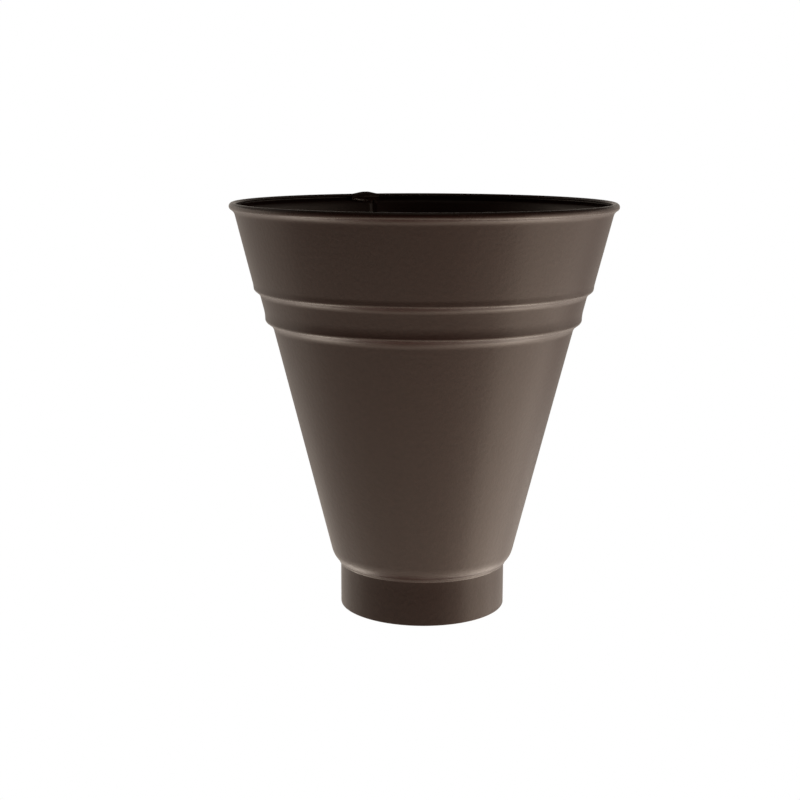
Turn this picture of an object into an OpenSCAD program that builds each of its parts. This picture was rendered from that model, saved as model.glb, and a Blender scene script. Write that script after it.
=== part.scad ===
// Downpipe hopper head: a round sheet steel cone with a curled rim, two steps and an outlet spigot.
// Millimetres, Z up, the origin at the centre of the spigot's foot, the seam on the +Y side.

/* [Sheet] */
// Thickness of the coated sheet
sheet_t = 0.6; // [0.5:0.05:0.8]
// Space left between the layers of the folded seam
fold_gap = 0.12; // [0.1:0.01:0.2]

/* [Rim] */
// Radius of the circle on which the rim's bead is centred
rim_r = 111.15; // [95:0.05:130]
// Height of the bead's centre above the foot
rim_h = 240.1; // [220:0.1:280]
// Outer radius of the curled bead
bead_r = 2.15; // [1.8:0.05:3]
// Radius of the hollow bend that leads the wall out into the bead, to the middle of the sheet
jog_r = 4.5; // [3:0.1:6]
// Angle through which the sheet is curled over and inwards
curl_turn = 205; // [180:1:290]

/* [Steps] */
// Height of the upper step's edge
step_h = 192.1; // [180:0.1:205]
// Height from the lower step's edge to the upper one
step_pitch = 18.4; // [15:0.1:40]
// Distance by which each step sets the wall in
step_in = 2.5; // [2:0.1:4]
// Height of the steeper wall above the upper step's edge
upper_wall = 3.2; // [1.8:0.1:6]
// Height of the steeper wall above the lower step's edge
lower_wall = 2.8; // [2.5:0.1:6]
// Angle by which the steeper wall leans out above the upper step
upper_lean = 7; // [4:1:10]
// Angle by which the steeper wall leans out above the lower step
lower_lean = 1; // [0:1:8]
// Slope of the steps' undersides below the level
step_slope = 32; // [30:1:44]
// Radius of the steps' edges
edge_round = 0.75; // [0.7:0.05:1.6]
// Radius of the hollow under each step
crease_round = 8; // [3:0.5:8.5]
// Radius of the bend at the top of each steeper wall
wall_round = 14; // [4:1:16]

/* [Shoulder] */
// Height of the centre of the shoulder's round
shoulder_h = 37.8; // [32:0.1:50]
// Distance by which the cone stands out from the spigot at that height
shoulder_out = 6.1; // [5:0.1:8]
// Radius of the shoulder's round
shoulder_round = 17; // [12:0.5:24]
// Space between the lip and the spigot
lip_gap = 0.45; // [0.25:0.05:0.6]

/* [Spigot] */
// Outer radius of the spigot
spigot_r = 49.5; // [40:0.1:60]
// Space between the spigot's flare and the inside of the shoulder
seat_gap = 0.2; // [0.1:0.05:0.4]
// Radius of the bend between the tube and its flare, on the outside
flare_bend = 1.8; // [1:0.1:2.5]
// Angle about the shoulder's centre at which the flare ends, measured down from the level
flare_end = 20; // [17:1:28]

/* [Seam] */
// Half of the width between the two folds
seam_half = 2.6; // [2.2:0.1:5]
// Length of plain sheet between the shoulder and the lower end of the seam's folds
seam_foot = 1.5; // [1:0.1:10]
// Height by which the seam's layers swell the bead
swell = 1.3; // [1:0.1:1.8]
// Distance from the seam's middle to the start of the full height, on the slow side
swell_from = 2.9; // [1:0.1:5]
// Distance from the seam's middle to the end of the full height, on the quick side
swell_to = 0.2; // [0:0.1:3]
// Length by which the swelling runs past the seam on the slow side
swell_run = 8.2; // [5:0.1:14]
// Length by which the swelling runs past the seam on the quick side
swell_drop = 3.4; // [2:0.1:8]

/* [Hidden] */
$fn = 96;

coat_colour = [0.13, 0.1, 0.085];
// Angle between the points that stand for a bend
bend_pitch = 18;
// Angle between the points that stand for the shoulder
shoulder_pitch = 5;
// Angle between the points that stand for the curl
curl_pitch = 15;
// Least radius that a face keeps in a bend
least_round = 0.15;
// Depth by which the ends of the swelling dip into the bead
swell_dip = 0.15;
// Length by which a cutting block runs past what it cuts
over = 5;
// Depth below the bead's centre at which the spaces in the seam end, as a share of the bead's radius
space_end = 0.9;
// Length by which the slit along the seam runs down into the shoulder before its upright cut takes over
slit_run = 2;
// Length by which the seam's root stops short of its folds at each end
root_short = 0.3;

// Wall: the outer faces of the three bands are parallel lines
base_r = spigot_r + shoulder_out;
wall_k = (rim_r - 2 * step_in - base_r) / (rim_h - shoulder_h);
wall_a = atan(wall_k);

// Shoulder: the arc meets the lower band without a corner and ends at the lip
shoulder_c = [base_r - shoulder_round / cos(wall_a), shoulder_h];
lip_bore = spigot_r + lip_gap;
lip_a = acos((lip_bore - shoulder_c[0]) / (shoulder_round - sheet_t));

// Curl: the hollow bend at its foot turns the wall outwards until it touches the bead's own circle
bead_c = [rim_r, rim_h];
bead_mid = bead_r - sheet_t / 2;
jog_rise = sqrt(pow(jog_r + bead_mid, 2) - pow(jog_r - sheet_t / 2, 2));
jog_turn = atan2(jog_rise, jog_r - sheet_t / 2);
wall_up = [sin(wall_a), cos(wall_a)];
jog_foot = bead_c - jog_rise * wall_up;
jog_c = jog_foot + (jog_r - sheet_t / 2) * along(-wall_a);
bead_a = -wall_a - jog_turn;

// Seam: each layer stands out from the one below by the sheet and the space
layer = sheet_t + fold_gap;
seam_top = 3 * layer;
slit_x = seam_half + sheet_t;
left_x = -seam_half - sheet_t;
right_x = slit_x + fold_gap + sheet_t;
space_run = jog_rise - space_end * bead_r;
swell_r = bead_r + swell;
swell_end = bead_r - swell_dip;

// Direction at an angle, in the plane of the section
function along(a) = [cos(a), sin(a)];

// Points of an arc from angle a to angle b
function arc(c, r, a, b, pitch) =
    let (m = max(2, ceil(abs(b - a) / pitch)))
    [for (i = [0 : m]) c + r * along(a + (b - a) * i / m)];

// The same arc without its first point, which the stretch before it already holds
function arc_on(c, r, a, b, pitch) =
    let (p = arc(c, r, a, b, pitch))
    [for (i = [1 : len(p) - 1]) p[i]];

// Radius of a band's outer face at height z
function band_r(z, inset) = base_r + wall_k * (z - shoulder_h) + inset;

// Corners of a step: crease, edge and top of the steeper wall, for the band above and the band below
function step_corners(h, wall, lean, above, below) =
    let (top_r = band_r(h + wall, above))
    let (edge_r = top_r - wall * tan(lean))
    let (s = (edge_r - band_r(h, below)) / (1 - wall_k * tan(step_slope)))
    [[edge_r - s, h - s * tan(step_slope)], [edge_r, h], [top_r, h + wall]];

// A bend of the outer face moved out by n: the face turns from normal a to normal b at corner v
function bend(v, a, b, r, n) =
    let (half = (b - a) / 2)
    let (side = b > a ? 1 : -1)
    let (rn = max(r + side * n, least_round))
    let (c = v + along(a + half) * (n - side * rn) / cos(half))
    let (m = max(2, ceil(abs(b - a) / bend_pitch)))
    [for (i = [0 : m]) c + side * rn * along(a + (b - a) * i / m)];

// The three bends of a step, from the crease up
function step_bends(p, lean, n) = concat(
    bend(p[0], -wall_a, step_slope - 90, crease_round, n),
    bend(p[1], step_slope - 90, -lean, edge_round, n),
    bend(p[2], -lean, -wall_a, wall_round, n)
);

lower_step = step_corners(step_h - step_pitch, lower_wall, lower_lean, step_in, 0);
upper_step = step_corners(step_h, upper_wall, upper_lean, 2 * step_in, step_in);

// The outer face of the three bands moved out by n, from the top of the shoulder to the foot of the curl,
// made longer at each end
function band_face(n, down, up) = concat(
    [shoulder_c + (shoulder_round + n) * along(-wall_a) - down * wall_up],
    step_bends(lower_step, lower_lean, n),
    step_bends(upper_step, upper_lean, n),
    [jog_foot + n * along(-wall_a) + up * wall_up]
);

// The shoulder's face moved out by n, from the lip to the lower band
function shoulder_face(n) =
    let (p = arc(shoulder_c, shoulder_round + n, -lip_a, -wall_a, shoulder_pitch))
    [for (i = [0 : len(p) - 2]) p[i]];

// The curl's face moved out by n: the wall's outer face stays on the outside of the curl
function curl_face(n) = concat(
    arc_on(jog_c, n + sheet_t / 2 - jog_r, -wall_a, bead_a, bend_pitch),
    arc_on(bead_c, n + sheet_t / 2 + bead_mid, bead_a, bead_a + curl_turn, curl_pitch)
);

function reversed(p) = [for (i = [len(p) - 1 : -1 : 0]) p[i]];

// Section of the whole sheet, from the lip to the end of the curl
module sheet_section() {
    outer = concat(shoulder_face(0), band_face(0, 0, 0), curl_face(0));
    inner = concat(shoulder_face(-sheet_t), band_face(-sheet_t, 0, 0), curl_face(-sheet_t));
    polygon(concat(outer, reversed(inner)));
}

// A strip along the seam, from face low to face high, between two planes
module seam_strip(low, high, left, right, down, up) {
    intersection() {
        rotate_extrude() polygon(concat(band_face(high, down, up), reversed(band_face(low, down, up))));
        translate([left, 0, 0]) cube([right - left, rim_r + over, rim_h + over]);
    }
}

// A space between layers of the seam, running past its lower end
module seam_space(low, high, left, right) {
    seam_strip(low, high, left, right, 0, space_run);
}

// The folded seam without its inner spaces: it stands clear of the wall except at its root, where both
// edges of the sheet rise, and at its top, which runs through the hollow bend into the swelling
module seam_rib() {
    top = jog_rise - bead_r / 2;
    seam_strip(fold_gap, seam_top, left_x, right_x, -seam_foot, top);
    seam_strip(-sheet_t / 2, layer, seam_half, right_x, -seam_foot - root_short, top - root_short);
}

// The spaces that part the two hooks of the seam, one from each edge of the sheet
module seam_spaces() {
    // Round the end of the right edge's hook
    seam_space(fold_gap / 2, layer + fold_gap, seam_half - fold_gap, seam_half);
    // Between the two returns and round the end of the left edge's hook
    seam_space(layer, layer + fold_gap, -seam_half, seam_half);
    seam_space(layer, 2 * layer + fold_gap, -seam_half, -seam_half + fold_gap);
    // Over the left edge's hook and down to the slit in the wall
    seam_space(2 * layer, 2 * layer + fold_gap, -seam_half, slit_x + fold_gap);
    seam_strip(-2 * sheet_t, 2 * layer + fold_gap / 2, slit_x, slit_x + fold_gap, slit_run, space_run);
    slit_top = shoulder_h - shoulder_round * sin(wall_a) - slit_run / 2;
    translate([slit_x, 0, 0]) cube([fold_gap, rim_r, slit_top]);
}

// The bead over the seam, thickened by the layers that are curled in with it: slow on one side, quick on
// the other
module swelling() {
    degrees_per_mm = 180 / (PI * rim_r);
    slow_end = swell_run - left_x;
    quick_end = right_x + swell_drop;
    slow_a = slow_end * degrees_per_mm;
    quick_a = quick_end * degrees_per_mm;
    chord = 2 * rim_r * sin((slow_a + quick_a) / 2);
    rotate([0, 0, (slow_a - quick_a) / 2])
        translate([chord / 2, rim_r * cos((slow_a + quick_a) / 2), rim_h])
            rotate([0, -90, 0])
                rotate_extrude()
                    polygon([
                        [0, 0],
                        [swell_end, 0],
                        [swell_r, quick_end - swell_to],
                        [swell_r, chord - slow_end + swell_from],
                        [swell_end, chord],
                        [0, chord]
                    ]);
}

module hopper_cone() {
    color(coat_colour) {
        difference() {
            union() {
                rotate_extrude() sheet_section();
                seam_rib();
            }
            seam_spaces();
        }
        swelling();
    }
}

// Short tube let into the lip, with a flare that lies on the inside of the shoulder
module outlet_spigot() {
    flare_r = shoulder_round - sheet_t - seat_gap;
    bend_x = spigot_r + flare_bend;
    bend_z = shoulder_h - sqrt(pow(flare_r + flare_bend, 2) - pow(bend_x - shoulder_c[0], 2));
    bend_c = [bend_x, bend_z];
    flare_a = atan2(shoulder_h - bend_z, bend_x - shoulder_c[0]);
    outer = concat(
        [[spigot_r, 0]],
        arc(bend_c, flare_bend, 180, 180 - flare_a, bend_pitch),
        arc_on(shoulder_c, flare_r, -flare_a, -flare_end, shoulder_pitch)
    );
    inner = concat(
        [[spigot_r - sheet_t, 0]],
        arc(bend_c, flare_bend + sheet_t, 180, 180 - flare_a, bend_pitch),
        arc_on(shoulder_c, flare_r - sheet_t, -flare_a, -flare_end, shoulder_pitch)
    );
    color(coat_colour)
        rotate_extrude()
            polygon(concat(outer, reversed(inner)));
}

hopper_cone();
outlet_spigot();
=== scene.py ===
import math

import bpy
import numpy as np
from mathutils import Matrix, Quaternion, Vector


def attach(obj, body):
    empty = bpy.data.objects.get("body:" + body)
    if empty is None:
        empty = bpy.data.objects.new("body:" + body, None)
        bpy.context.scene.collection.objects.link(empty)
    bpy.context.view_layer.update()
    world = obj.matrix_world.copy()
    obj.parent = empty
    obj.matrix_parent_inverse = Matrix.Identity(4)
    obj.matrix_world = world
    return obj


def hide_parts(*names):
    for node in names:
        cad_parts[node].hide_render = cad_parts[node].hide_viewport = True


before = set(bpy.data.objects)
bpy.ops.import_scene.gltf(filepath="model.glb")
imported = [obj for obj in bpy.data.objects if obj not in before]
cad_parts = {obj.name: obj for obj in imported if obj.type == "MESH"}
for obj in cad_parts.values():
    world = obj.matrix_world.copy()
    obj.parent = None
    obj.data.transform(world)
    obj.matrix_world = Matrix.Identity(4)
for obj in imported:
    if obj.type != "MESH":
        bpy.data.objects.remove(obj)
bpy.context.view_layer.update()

MM = 0.001

# Sizes of the metal are in millimetres, angles in radians
SHEET = 0.6
FOLD_GAP = 0.12
SMALLEST_BEND = 0.15

# Rim: middle of the bead, its outer radius, the hollow bend below it and how far the roll goes round
RIM_R = 111.15
RIM_H = 240.1
BEAD_R = 2.13
JOG_R = 5.3
CURL_TURN = math.radians(205)

# Steps: height of the upper edge, drop to the lower one, slope of the undersides, and how far the middle and
# the upper band stand out from the line of the lower cone
STEP_H = 191.95
STEP_PITCH = 18.4
STEP_SLOPE = math.radians(37)
MIDDLE_OUT = 2.65
UPPER_OUT = 5.0

# Steep wall above each step's edge: its height, its lean, and the radii of the crease, the edge and its top
UPPER_WALL = 3.2
UPPER_LEAN = math.radians(7)
UPPER_BENDS = (5.0, 2.0, 14.0)
LOWER_WALL = 4.1
LOWER_LEAN = math.radians(1)
LOWER_BENDS = (6.5, 2.0, 24.0)

# Shoulder: a wide arc, a tighter knuckle below it, and a lip in a small hollow arc with a short straight end.
# The angles are how far the outer face looks down where the knuckle, the hollow arc and the end begin
SHOULDER_H = 41.7
SHOULDER_OUT = 7.26
SHOULDER_ROUND = 26.0
KNUCKLE_ROUND = 11.0
LIP_ROUND = 2.4
LIP_RUN = 1.05
KNUCKLE_A = math.radians(19.8)
LIP_A = math.radians(47)
LIP_END = math.radians(18)

# Outlet spigot and its flare inside the shoulder
SPIGOT_R = 49.5
SEAT_GAP = 0.2
FLARE_BEND = 1.8
FLARE_END = math.radians(18)

# Rear seam: half its width and the height of its foot above the shoulder's arc
SEAM_HALF = 2.6
SEAM_FOOT = 1.5

# Swelling of the rim over the seam: its growth, the stretch of full size, the lengths of its two ends and how
# far they dip into the bead
SWELL_OUT = 0.75
SWELL_UP = 1.25
SWELL_FROM = 2.9
SWELL_TO = 0.2
SWELL_RUN = 8.5
SWELL_DROP = 7.1
SWELL_SINK = 0.1

# Long waves of rolled sheet: height, number round, turn per millimetre up, start
WAVES = (
    (0.05, 2, 0.0, 0.7),
    (0.035, 3, -1 / 55.0, 1.9),
    (0.022, 5, 1 / 38.0, 0.0),
    (0.014, 9, -1 / 27.0, 0.4),
)
WAVE_FOOT, WAVE_FOOT_RUN = 30.0, 25.0
WAVE_HEAD, WAVE_HEAD_RUN = 236.0, 14.0

# Fineness of the meshes: sides round, and the longest straight stretch along a section
CONE_SIDES = 240
TUBE_SIDES = 200
CONE_PITCH = 5.0
SEAM_PITCH = 6.0

# Turn per millimetre at which an edge counts as fully exposed to rubbing. Exposed edges are made smoother and
# # lighter, the lighter colour being partly wear and partly painted highlight
WEAR_AND_HIGHLIGHT_TURN = 0.5
SEAM_WEAR_AND_HIGHLIGHT_TURN = 2.0
SWELL_WEAR_AND_HIGHLIGHT = 0.8

# Lines and centres that follow from the sizes
BASE_R = SPIGOT_R + SHOULDER_OUT
WALL_K = (RIM_R - UPPER_OUT - BASE_R) / (RIM_H - SHOULDER_H)
WALL_A = math.atan(WALL_K)
WALL_UP = np.array([math.sin(WALL_A), math.cos(WALL_A)])
WALL_OUT = np.array([math.cos(WALL_A), -math.sin(WALL_A)])
SHOULDER_C = np.array([BASE_R - SHOULDER_ROUND / math.cos(WALL_A), SHOULDER_H])
KNUCKLE_OUT = np.array([math.cos(KNUCKLE_A), -math.sin(KNUCKLE_A)])
KNUCKLE_C = SHOULDER_C + (SHOULDER_ROUND - KNUCKLE_ROUND) * KNUCKLE_OUT
LIP_OUT = np.array([math.cos(LIP_A), -math.sin(LIP_A)])
LIP_C = KNUCKLE_C + (KNUCKLE_ROUND + LIP_ROUND) * LIP_OUT
BEAD_C = np.array([RIM_R, RIM_H])
BEAD_MID = BEAD_R - SHEET / 2
JOG_RISE = math.sqrt((JOG_R + BEAD_MID) ** 2 - (JOG_R - SHEET / 2) ** 2)
JOG_TURN = math.atan2(JOG_RISE, JOG_R - SHEET / 2)
JOG_FOOT = BEAD_C - JOG_RISE * WALL_UP
JOG_C = JOG_FOOT + (JOG_R - SHEET / 2) * WALL_OUT
LAYER = SHEET + FOLD_GAP
SLIT_X = SEAM_HALF + SHEET
UPRIGHT_X = SLIT_X + FOLD_GAP + SHEET / 2


def along(a):
    """Unit vectors at the angles a: cosine and sine as pairs."""
    return np.stack([np.cos(a), np.sin(a)], axis=-1)


def arc(centre, radius, a, b, count):
    """Points of a circle from angle a to angle b: the centre plus the radius times the unit vector, one row
    of points for each radius given."""
    return centre + np.asarray(radius, float)[..., None, None] * along(np.linspace(a, b, count))


def level(start, end, count, height):
    """Points of a section at one height, spread evenly from start to end."""
    return np.stack([np.linspace(start, end, count), np.full(count, height)], axis=1)


def bend(corner, a, b, radius, n, count):
    """A corner of the outer face moved out by each n and rounded: an arc whose centre lies on the corner's
    bisector, so that it touches both straight stretches. The face's normal turns from a to b."""
    half = (b - a) / 2
    side = 1.0 if b > a else -1.0
    rounded = np.maximum(radius + side * n, SMALLEST_BEND)
    centre = np.asarray(corner) + ((n - side * rounded) / math.cos(half))[:, None] * along(a + half)
    return arc(centre[:, None, :], side * rounded, a, b, count)


def band_radius(z, inset):
    """Radius of a band's outer face at height z: a straight line with the wall's slope."""
    return BASE_R + WALL_K * (z - SHOULDER_H) + inset


def step_corners(h, wall, lean, bends, above, below):
    """Crease, edge and top of the steeper wall of a step, where its straight faces cross, the wall's lean and
    the radii of the three bends."""
    top = band_radius(h + wall, above)
    edge = top - wall * math.tan(lean)
    run = (edge - band_radius(h, below)) / (1 - WALL_K * math.tan(STEP_SLOPE))
    return (edge - run, h - run * math.tan(STEP_SLOPE)), (edge, h), (top, h + wall), lean, bends


STEPS = (
    step_corners(STEP_H - STEP_PITCH, LOWER_WALL, LOWER_LEAN, LOWER_BENDS, MIDDLE_OUT, 0.0),
    step_corners(STEP_H, UPPER_WALL, UPPER_LEAN, UPPER_BENDS, UPPER_OUT, MIDDLE_OUT),
)


def band_lines(n, down, up, pitch):
    """The three bands' outer face moved out by each n, as rows of radius and height: the rounded corners of
    both steps joined by straight stretches, from the top of the shoulder to the foot of the curl. A stretch
    longer than the pitch is divided into parts, the shorter ones at its ends, the same number in each row."""
    n = np.asarray(n, float)
    under = STEP_SLOPE - math.pi / 2
    out = n[:, None, None] * WALL_OUT
    rows = [SHOULDER_C + SHOULDER_ROUND * WALL_OUT - down * WALL_UP + out]
    for crease, edge, top, lean, (crease_round, edge_round, top_round) in STEPS:
        rows.append(bend(crease, -WALL_A, under, crease_round, n, count=10))
        rows.append(bend(edge, under, -lean, edge_round, n, count=9))
        rows.append(bend(top, -lean, -WALL_A, top_round, n, count=8))
    rows.append(JOG_FOOT + up * WALL_UP + out)
    lines = np.concatenate(rows, axis=1)
    parts = np.maximum(1, np.ceil(np.hypot(*np.diff(lines[0], axis=0).T) / pitch)).astype(int)
    start = np.repeat(np.arange(len(parts)), parts)
    share = (np.arange(parts.sum()) - np.repeat(np.cumsum(parts) - parts, parts)) / parts[start]
    share = 0.5 - 0.5 * np.cos(math.pi * share)
    spread = lines[:, start] + share[:, None] * (lines[:, start + 1] - lines[:, start])
    return np.concatenate([spread, lines[:, -1:]], axis=1)


def half_circle(a, b, before):
    """Four points between a and b on the half circle that bulges the way the line from before to a runs."""
    t = np.linspace(0, math.pi, 6)[1:-1, None]
    half = (a - b) / 2
    ahead = (a - before) * np.linalg.norm(half) / np.linalg.norm(a - before)
    return (a + b) / 2 + half * np.cos(t) + ahead * np.sin(t)


def sheet_loop(outer, inner):
    """One loop round a sheet's section: along one face, a half circle, back along the other, another one."""
    top = half_circle(outer[-1], inner[-1], outer[-2])
    foot = half_circle(inner[0], outer[0], inner[1])
    return np.concatenate([outer, top, inner[::-1], foot])


def grid_faces(rows, columns, wrap_columns):
    """Corner numbers of the quads of a grid of points whose rows close on themselves, and its columns too if
    asked."""
    i = np.arange(rows)[:, None]
    j = np.arange(columns if wrap_columns else columns - 1)[None, :]
    i2, j2 = (i + 1) % rows, (j + 1) % columns
    corners = (i * columns + j, i * columns + j2, i2 * columns + j2, i2 * columns + j)
    return np.stack(np.broadcast_arrays(*corners), axis=-1).reshape(-1, 4)


def lid(row):
    """Quads that close an even loop of points, each from one side of the loop straight across to the next."""
    a, b = row[:len(row) // 2], row[::-1][:len(row) // 2]
    return np.stack([a[:-1], a[1:], b[1:], b[:-1]], axis=-1)


def carried(grid):
    """Faces of a loop carried along a path, from its points by loop place and path place: the sides, and the
    two flat lids, whose number is returned too."""
    rows, columns = grid.shape[:2]
    row = np.roll(np.arange(rows), 2) * columns
    ends = np.concatenate([lid(row), lid(row + columns - 1)[:, ::-1]])
    return np.concatenate([grid_faces(rows, columns, False), ends]), len(ends)


def volume(points, faces):
    """Six times the volume that quads enclose: the sum over two triangles of each of the triple product."""
    a, b, c, d = (points[faces[:, k]] for k in range(4))
    return np.sum(a * np.cross(b, c)) + np.sum(a * np.cross(c, d))


def rounding(loop):
    """How sharply a loop of points turns outwards at each point, in radians per millimetre."""
    ahead = np.roll(loop, -1, axis=0) - loop
    behind = loop - np.roll(loop, 1, axis=0)
    cross = behind[:, 0] * ahead[:, 1] - behind[:, 1] * ahead[:, 0]
    turn = np.arctan2(cross, np.sum(ahead * behind, axis=1))
    return turn / (0.5 * (np.linalg.norm(ahead, axis=1) + np.linalg.norm(behind, axis=1)))


def put_mesh(name, points, faces, flat, edge_wear_and_highlight):
    """A closed mesh object at the origin from points in millimetres and quads turned to face outwards. The
    last faces, as many as flat says, are shaded flat. The attribute from the last argument says how exposed
    each point is; the coating makes exposed points smoother and lighter, partly as wear and partly as painted
    highlight."""
    points = points.reshape(-1, 3)
    faces = faces if volume(points, faces) > 0 else faces[:, ::-1]
    mesh = bpy.data.meshes.new(name)
    mesh.vertices.add(len(points))
    mesh.vertices.foreach_set("co", (points * MM).astype(np.float32).ravel())
    mesh.loops.add(faces.size)
    mesh.loops.foreach_set("vertex_index", faces.astype(np.int32).ravel())
    mesh.polygons.add(len(faces))
    mesh.polygons.foreach_set("loop_start", np.arange(0, faces.size, 4, dtype=np.int32))
    mesh.polygons.foreach_set("use_smooth", np.arange(len(faces)) < len(faces) - flat)
    mesh.update(calc_edges=True)
    mesh.validate()
    mesh.attributes.new("edge_wear_and_highlight", "FLOAT", "POINT").data.foreach_set("value", edge_wear_and_highlight.astype(np.float32).ravel())
    piece = bpy.data.objects.new(name, mesh)
    bpy.context.collection.objects.link(piece)
    return piece


def rolled(angle, z):
    """How far rolled sheet stands off a true cone, in millimetres: a sum of long sine waves round and along
    it, none at the shoulder and the rim."""
    wave = sum(high * np.sin(number * angle + turn * z + start) for high, number, turn, start in WAVES)
    foot = np.clip((z - WAVE_FOOT) / WAVE_FOOT_RUN, 0, 1)
    return wave * foot * np.clip((WAVE_HEAD - z) / WAVE_HEAD_RUN, 0, 1)


def cone_sheet():
    """The cone's sheet from the lip to the end of the curl, once round: the section's loop carried from one
    side of the slit to the other. The slit's sides are planes, so at each radius the angle starts at a right
    angle less the arcsine of the side's place over the radius."""
    n = np.array([0.0, -SHEET])
    curl_from = -WALL_A - JOG_TURN
    lip = arc(LIP_C, n - LIP_ROUND, -LIP_END, -LIP_A, count=8)
    lip_foot = lip[:, :1] - LIP_RUN * np.array([math.sin(LIP_END), math.cos(LIP_END)])
    knuckle = arc(KNUCKLE_C, KNUCKLE_ROUND + n, -LIP_A, -KNUCKLE_A, count=14)
    shoulder = arc(SHOULDER_C, SHOULDER_ROUND + n, -KNUCKLE_A, -WALL_A, count=8)
    bands = band_lines(n, 0.0, 0.0, CONE_PITCH)
    jog = arc(JOG_C, n + SHEET / 2 - JOG_R, -WALL_A, curl_from, count=10)
    curl = arc(BEAD_C, n + SHEET / 2 + BEAD_MID, curl_from, CURL_TURN + curl_from, count=30)
    turned_in = [lip_foot, lip[:, :-1], knuckle[:, :-1], shoulder[:, :-1]]
    outer, inner = np.concatenate(turned_in + [bands, jog[:, 1:], curl[:, 1:]], axis=1)
    loop = sheet_loop(outer, inner)
    r, z = loop[:, :1], loop[:, 1:]
    start = 0.5 * math.pi - np.arcsin(SLIT_X / r)
    end = 2.5 * math.pi - np.arcsin((SLIT_X + FOLD_GAP) / r)
    angle = start + (end - start) * np.linspace(0, 1, CONE_SIDES)
    r = r + rolled(angle, z)
    grid = np.stack([r * np.cos(angle), r * np.sin(angle), np.broadcast_to(z, r.shape)], axis=-1)
    edge_wear_and_highlight = np.broadcast_to(np.clip(rounding(loop) / WEAR_AND_HIGHLIGHT_TURN, 0, 1)[:, None], angle.shape)
    return put_mesh("cone_sheet", grid, *carried(grid), edge_wear_and_highlight)


def folded_strip(name, line, half):
    """A strip of sheet folded in section and carried up the wall. The line gives the middle of its section as
    place across the seam and distance out from the wall's face, the half thickness is given at each point.
    A point at distance n follows the bands' face moved out by n, and its Y is the root of the radius squared
    less its place across squared."""
    tangent = np.gradient(line, axis=0)
    normal = np.stack([tangent[:, 1], -tangent[:, 0]], axis=1) / np.linalg.norm(tangent, axis=1)[:, None]
    loop = sheet_loop(line + half[:, None] * normal, line - half[:, None] * normal)
    path = band_lines(loop[:, 1], -SEAM_FOOT, JOG_RISE - BEAD_R / 2, SEAM_PITCH)
    x = np.broadcast_to(loop[:, :1], path.shape[:2])
    grid = np.stack([x, np.sqrt(path[..., 0] ** 2 - x ** 2), path[..., 1]], axis=-1)
    edge_wear_and_highlight = np.broadcast_to(np.clip(np.abs(rounding(loop))[:, None] / SEAM_WEAR_AND_HIGHLIGHT_TURN, 0, 1), x.shape)
    return put_mesh(name, grid, *carried(grid), edge_wear_and_highlight)


def left_hook():
    """The left edge of the sheet: along the wall, round a half circle about the other hook's end, and back."""
    root_run, root_gap, root_half, play = 1.2, 0.2, 0.22, 0.4
    fold_x = SEAM_HALF - LAYER + SHEET / 2
    foot = level(fold_x - root_run, fold_x - root_gap, 5, -SHEET / 2)
    fold = arc(np.array([fold_x, LAYER - SHEET / 2]), LAYER, -math.pi / 2, math.pi / 2, count=17)
    back = level(fold_x - play, -SEAM_HALF + play, 12, 2 * LAYER - SHEET / 2)
    line = np.concatenate([foot, fold, back])
    half = np.interp(np.arange(len(line)), [0, len(foot)], [root_half, SHEET / 2])
    return folded_strip("seam_left_hook", line, half)


def right_hook():
    """The right edge of the sheet: out of the wall in a small bend, up, over the other hook, round a half
    circle about its end, and back underneath."""
    low, high = -SHEET / 2, 3 * LAYER - SHEET / 2
    set_up, over = 0.55, 0.8
    root_run, root_sink, root_half, play = 2.2, 0.02, 0.24, 0.4
    fold_x = -SEAM_HALF + LAYER - SHEET / 2
    root = level(UPRIGHT_X + root_run, UPRIGHT_X + set_up, 5, low - root_sink)[:-1]
    rise = arc(np.array([UPRIGHT_X + set_up, low + set_up]), set_up, -math.pi / 2, -math.pi, count=8)
    turn = arc(np.array([UPRIGHT_X - over, high - over]), over, 0, math.pi / 2, count=10)
    top = level(UPRIGHT_X - over, fold_x, 14, high)[1:-1]
    fold = arc(np.array([fold_x, 2 * LAYER - SHEET / 2]), LAYER, math.pi / 2, 1.5 * math.pi, count=17)
    back = level(fold_x + play, SEAM_HALF - play, 14, LAYER - SHEET / 2)
    line = np.concatenate([root, rise, turn, top, fold, back])
    half = np.where(np.arange(len(line)) < len(root), root_half, SHEET / 2)
    return folded_strip("seam_right_hook", line, half)


def rim_swelling():
    """The bead over the seam, thickened by the layers curled in with it: an oval section carried along the
    bead's circle, whose half axes ease from just under the bead's radius to their full size, slowly on one
    side and quickly on the other."""
    place = np.linspace(-SWELL_FROM - SWELL_RUN, SWELL_TO + SWELL_DROP, 72)
    fall = np.maximum((-SWELL_FROM - place) / SWELL_RUN, (place - SWELL_TO) / SWELL_DROP)
    rise = 1 - np.clip(fall, 0, 1)
    ease = 0.5 * rise + 0.5 * rise * rise * (3 - 2 * rise)
    angle = 0.5 * math.pi - place / RIM_R
    turn = np.linspace(0, 2 * math.pi, 40, endpoint=False)[:, None]
    r = RIM_R + np.cos(turn) * (BEAD_R - SWELL_SINK + (SWELL_OUT + SWELL_SINK) * ease)
    z = RIM_H + np.sin(turn) * (BEAD_R - SWELL_SINK + (SWELL_UP + SWELL_SINK) * ease)
    grid = np.stack([r * np.cos(angle), r * np.sin(angle), z], axis=-1)
    return put_mesh("rim_swelling", grid, *carried(grid), np.full(r.shape, SWELL_WEAR_AND_HIGHLIGHT))


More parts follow.
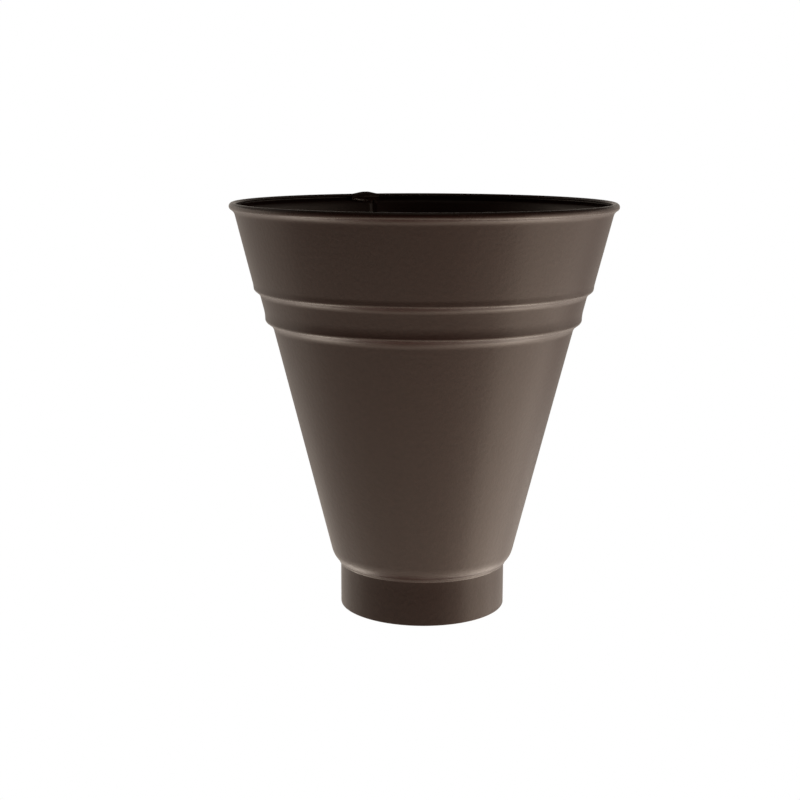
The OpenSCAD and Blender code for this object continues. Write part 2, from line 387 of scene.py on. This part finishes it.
def outlet_spigot():
    """The short tube and its flare, which lies on the inside of the shoulder: the section's loop carried once
    round the Z axis, x and y being the radius times the cosine and sine of the angle. The tube's points lie
    closer towards its foot, by a power of their share of the height."""
    tube_points, crowding = 10, 2.5
    flare_r = KNUCKLE_ROUND - SHEET - SEAT_GAP
    bend_x = SPIGOT_R + FLARE_BEND
    bend_z = KNUCKLE_C[1] - math.sqrt((flare_r + FLARE_BEND) ** 2 - (bend_x - KNUCKLE_C[0]) ** 2)
    flare_a = math.atan2(KNUCKLE_C[1] - bend_z, bend_x - KNUCKLE_C[0])
    n = np.array([0.0, SHEET])
    tube_z = SHEET / 2 + (bend_z - SHEET / 2) * np.linspace(0, 1, tube_points) ** crowding
    tube = np.stack([np.stack([np.full(tube_points, SPIGOT_R - t), tube_z], axis=1) for t in n])
    turn = arc(np.array([bend_x, bend_z]), FLARE_BEND + n, math.pi, math.pi - flare_a, count=8)
    flare = arc(KNUCKLE_C, flare_r - n, -flare_a, -FLARE_END - SHEET / 2 / flare_r, count=9)
    outer, inner = np.concatenate([tube, turn[:, 1:], flare[:, 1:]], axis=1)
    loop = sheet_loop(outer, inner)
    angle = np.linspace(0, 2 * math.pi, TUBE_SIDES, endpoint=False)
    r, z = loop[:, :1], loop[:, 1:]
    x, y = r * np.cos(angle), r * np.sin(angle)
    grid = np.stack([x, y, np.broadcast_to(z, x.shape)], axis=-1)
    edge_wear_and_highlight = np.broadcast_to(np.clip(rounding(loop)[:, None] / WEAR_AND_HIGHLIGHT_TURN, 0, 1), x.shape)
    return put_mesh("spigot_tube", grid, grid_faces(len(loop), TUBE_SIDES, True), 0, edge_wear_and_highlight)


# Coating: colour and roughness of its middle tone, and the noises' grains per metre
COATING_COLOUR = (0.0327, 0.0126, 0.0092)
COATING_ROUGHNESS = 0.35
SHEEN_TINT = (1.0, 0.93, 0.845, 1)
CLOUDS, PATCHES, PEEL, GRAINS = 14.0, 90.0, 420.0, 1500.0


def put_node(tree, kind, **settings):
    """A shader node with its settings and the values of its inputs, which are given by name or by number."""
    node = tree.nodes.new(kind)
    for key, value in settings.pop("inputs", {}).items():
        node.inputs[key].default_value = value
    for key, value in settings.items():
        setattr(node, key, value)
    return node


def noise(tree, place, scale, detail, rough=0.5):
    """The value of a noise of the given number of grains per metre."""
    inputs = {"Scale": scale, "Detail": detail, "Roughness": rough}
    node = put_node(tree, "ShaderNodeTexNoise", inputs=inputs)
    tree.links.new(place, node.inputs["Vector"])
    return node.outputs[0]


def reckon(tree, operation, a, b, c=None):
    """The outcome of a sum on sockets or plain numbers."""
    node = put_node(tree, "ShaderNodeMath", operation=operation)
    for number, value in enumerate((a, b, c)):
        if isinstance(value, (int, float)):
            node.inputs[number].default_value = value
        elif value is not None:
            tree.links.new(value, node.inputs[number])
    return node.outputs[0]


def swing(tree, middle, mask, amount):
    """A value that swings about the middle with a noise: middle plus amount times the noise less a half."""
    return reckon(tree, "MULTIPLY_ADD", mask, amount, reckon(tree, "SUBTRACT", middle, amount / 2))


def coating_group():
    """Baked coating on rolled sheet: cloudy tone, fine grain, orange peel, and exposed edges rubbed smoother
    and lighter, the lighter colour being partly wear and partly painted highlight.
    """
    tree = bpy.data.node_groups.new("baked_coating", "ShaderNodeTree")
    for name, kind in (("Place", "Vector"), ("Edge_wear_and_highlight", "Float")):
        tree.interface.new_socket(name, in_out="INPUT", socket_type="NodeSocket" + kind)
    for name, kind in (("Colour", "Color"), ("Roughness", "Float"), ("Height", "Float")):
        tree.interface.new_socket(name, in_out="OUTPUT", socket_type="NodeSocket" + kind)
    given, taken = tree.nodes.new("NodeGroupInput"), tree.nodes.new("NodeGroupOutput")
    place, edge_wear_and_highlight = given.outputs["Place"], given.outputs["Edge_wear_and_highlight"]
    cloud = noise(tree, place, CLOUDS, 3.0)
    grain = noise(tree, place, GRAINS, 2.0, 0.6)
    peel = noise(tree, place, PEEL, 1.0)
    patchy = noise(tree, place, PATCHES, 4.0, 0.65)
    # Exposure of convex edges, made patchy: it smooths them, and it lightens them partly as wear and partly as
    # painted highlight
    wear_and_highlight = reckon(tree, "MULTIPLY", edge_wear_and_highlight, swing(tree, 0.5, patchy, 1.6))
    tone_cloud, tone_grain, tone_peel, tone_wear_and_highlight = 0.16, 0.3, 0.4, 0.12
    tone = swing(tree, swing(tree, 1.0, cloud, tone_cloud), grain, tone_grain)
    # The fourth tone amount lightens exposed edges: partly edge wear, partly painted highlight
    tone = reckon(tree, "MULTIPLY_ADD", wear_and_highlight, tone_wear_and_highlight, swing(tree, tone, peel, tone_peel))
    colour = put_node(tree, "ShaderNodeVectorMath", operation="SCALE", inputs={0: COATING_COLOUR})
    tree.links.new(tone, colour.inputs["Scale"])
    dull_cloud, dull_grain, dull_rub, height_grain = 0.08, 0.1, -0.2, 0.35
    dull = swing(tree, swing(tree, COATING_ROUGHNESS, cloud, dull_cloud), grain, dull_grain)
    dull = reckon(tree, "MULTIPLY_ADD", wear_and_highlight, dull_rub, dull)
    height = reckon(tree, "MULTIPLY_ADD", grain, height_grain, peel)
    tree.links.new(colour.outputs[0], taken.inputs["Colour"])
    tree.links.new(dull, taken.inputs["Roughness"])
    tree.links.new(height, taken.inputs["Height"])
    return tree


def coating_material(group):
    """Satin dark brown coating."""
    material = bpy.data.materials.new("coated_sheet")
    material.use_nodes = True
    tree = material.node_tree
    shader = tree.nodes["Principled BSDF"]
    shader.inputs["IOR"].default_value = 1.5
    shader.inputs["Specular Tint"].default_value = SHEEN_TINT
    spots = put_node(tree, "ShaderNodeTexCoord")
    edge_wear_and_highlight = put_node(tree, "ShaderNodeAttribute", attribute_name="edge_wear_and_highlight")
    coat = put_node(tree, "ShaderNodeGroup", node_tree=group)
    bump = put_node(tree, "ShaderNodeBump", inputs={"Strength": 0.5, "Distance": 0.00014})
    tree.links.new(spots.outputs["Object"], coat.inputs["Place"])
    tree.links.new(edge_wear_and_highlight.outputs["Fac"], coat.inputs["Edge_wear_and_highlight"])
    tree.links.new(coat.outputs["Colour"], shader.inputs["Base Color"])
    tree.links.new(coat.outputs["Roughness"], shader.inputs["Roughness"])
    tree.links.new(coat.outputs["Height"], bump.inputs["Height"])
    tree.links.new(bump.outputs["Normal"], shader.inputs["Normal"])
    return material


coat = coating_material(coating_group())
cone = cone_sheet()
tube = outlet_spigot()
pieces = [cone, left_hook(), right_hook(), rim_swelling(), tube]
for piece in pieces:
    piece.data.materials.append(coat)
    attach(piece, "root")
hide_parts("hopper_cone")
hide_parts("outlet_spigot")

# Floor: a plain white sheet that gives no light to the object
FLOOR_HALF = 6
floor_corners = [(x * FLOOR_HALF, y * FLOOR_HALF, 0) for x, y in ((-1, -1), (1, -1), (1, 1), (-1, 1))]
floor_mesh = bpy.data.meshes.new("floor")
floor_mesh.from_pydata(floor_corners, [], [(0, 1, 2, 3)])
floor = bpy.data.objects.new("floor", floor_mesh)
bpy.context.collection.objects.link(floor)
floor_material = bpy.data.materials.new("floor")
floor_material.use_nodes = True
floor_tree = floor_material.node_tree
floor_tree.nodes.clear()
white = put_node(floor_tree, "ShaderNodeEmission", inputs={"Color": (1, 1, 1, 1), "Strength": 1.0})
result = put_node(floor_tree, "ShaderNodeOutputMaterial")
floor_tree.links.new(white.outputs[0], result.inputs["Surface"])
floor_mesh.materials.append(floor_material)
for ray in ("diffuse", "glossy", "transmission", "shadow"):
    setattr(floor, "visible_" + ray, False)

# World: white behind the object, with no light of its own
world = bpy.data.worlds.new("studio")
bpy.context.scene.world = world
world.use_nodes = True
world_tree = world.node_tree
world_tree.nodes.clear()
world_seen = put_node(world_tree, "ShaderNodeLightPath")
backdrop = put_node(world_tree, "ShaderNodeBackground", inputs={"Color": (1, 1, 1, 1), "Strength": 1.0})
air = put_node(world_tree, "ShaderNodeBackground", inputs={"Color": (0, 0, 0, 1), "Strength": 0.0})
world_choice = put_node(world_tree, "ShaderNodeMixShader")
world_result = put_node(world_tree, "ShaderNodeOutputWorld")
world_tree.links.new(world_seen.outputs["Is Camera Ray"], world_choice.inputs[0])
world_tree.links.new(air.outputs[0], world_choice.inputs[1])
world_tree.links.new(backdrop.outputs[0], world_choice.inputs[2])
world_tree.links.new(world_choice.outputs[0], world_result.inputs["Surface"])

# Camera, placed in metres by its turn about the Z axis, its distance from it and its height
CAMERA_TURN = math.radians(-19.5)
CAMERA_AWAY = 0.8477
CAMERA_H = 0.2846
CAMERA_DOWN = math.radians(10.705)
CAMERA_YAW = math.radians(0.928)
CAMERA_ROLL = math.radians(0.12)
camera = bpy.data.objects.new("camera", bpy.data.cameras.new("camera"))
camera.data.lens, camera.data.sensor_width = 64.82, 36.0
camera.data.clip_start, camera.data.clip_end = 0.01, 50.0
camera.location = (math.sin(CAMERA_TURN) * CAMERA_AWAY, -math.cos(CAMERA_TURN) * CAMERA_AWAY, CAMERA_H)
look = CAMERA_TURN + CAMERA_YAW
ahead = Vector((-math.sin(look), math.cos(look), -math.tan(CAMERA_DOWN)))
camera.rotation_mode = "QUATERNION"
camera.rotation_quaternion = ahead.to_track_quat("-Z", "Y") @ Quaternion((0, 0, 1), CAMERA_ROLL)
bpy.context.collection.objects.link(camera)
bpy.context.scene.camera = camera

# Light tent: rings of soft panels, each given by its elevation and its height in degrees and its number of
# panels, at a distance in metres from the object's middle
RINGS = (
    (-82, 16, 4), (-67, 14, 8), (-50, 20, 12), (-30, 20, 12),
    (-10, 20, 12), (10, 20, 12), (32, 24, 12), (67, 46, 6),
)
PANEL_AWAY = 1.5
PANEL_COLOUR = (1.0, 0.895, 0.79)
OBJECT_MIDDLE = Vector((0, 0, 0.13))

# Washes of light on the tent: azimuth and elevation of the middle, spread round and up in degrees, brightness
ALL_ROUND = 1000
WHITE_TABLE = (0, -49, ALL_ROUND, 23, 1.3)
NEAR_POOL = (50, -72, 80, 16, 1.3)
RIGHT_POOL = (115, -52, 40, 18, 2.5)
LEFT_POOL = (-140, -48, 42, 12, 1.9)
RIGHT_LAMP = (86, -25, 31, 35, 1.85)
BACK_WALL = (180, 0, 90, 25, 0.6)
LEFT_WALL = (-110, 5, 25, 25, 0.65)
CEILING = (0, 67, ALL_ROUND, 20, 0.06)


def tent_brightness(azimuth, elevation):
    """The sum of the washes in a direction, each its brightness times a bell curve of the turn and of the
    rise from its middle."""
    pools = (WHITE_TABLE, NEAR_POOL, RIGHT_POOL, LEFT_POOL)
    washes = np.array(pools + (RIGHT_LAMP, BACK_WALL, LEFT_WALL, CEILING))
    middle, height, across, up, bright = washes.T
    turn = (azimuth - middle + 180) % 360 - 180
    return float(np.sum(bright * np.exp(-(turn / across) ** 2 - ((elevation - height) / up) ** 2)))


def soft_panel(azimuth, elevation, wide, tall, strength):
    """A flat lamp turned to the object. Azimuth counts from the camera's side to its right, and the first
    four values are degrees as seen from the object. The lamp's power is pi times its area times its
    brightness."""
    a, e = CAMERA_TURN + math.radians(azimuth), math.radians(elevation)
    back = Vector((math.sin(a) * math.cos(e), -math.cos(a) * math.cos(e), math.sin(e)))
    lamp = bpy.data.lights.new("panel", "AREA")
    lamp.shape, lamp.color = "RECTANGLE", PANEL_COLOUR
    lamp.size = 2 * PANEL_AWAY * math.tan(math.radians(wide * math.cos(e) / 2))
    lamp.size_y = 2 * PANEL_AWAY * math.tan(math.radians(tall / 2))
    lamp.energy = math.pi * lamp.size * lamp.size_y * strength
    panel = bpy.data.objects.new("panel", lamp)
    panel.location = OBJECT_MIDDLE + back * PANEL_AWAY
    panel.rotation_mode = "QUATERNION"
    panel.rotation_quaternion = back.to_track_quat("Z", "Y")
    panel.visible_camera = False
    bpy.context.collection.objects.link(panel)
    return panel


for elevation, tall, count in RINGS:
    for azimuth in (np.arange(count) + 0.5) * 360 / count - 180:
        soft_panel(azimuth, elevation, 360 / count, tall, tent_brightness(azimuth, elevation))

bpy.context.scene.view_settings.view_transform = "Standard"
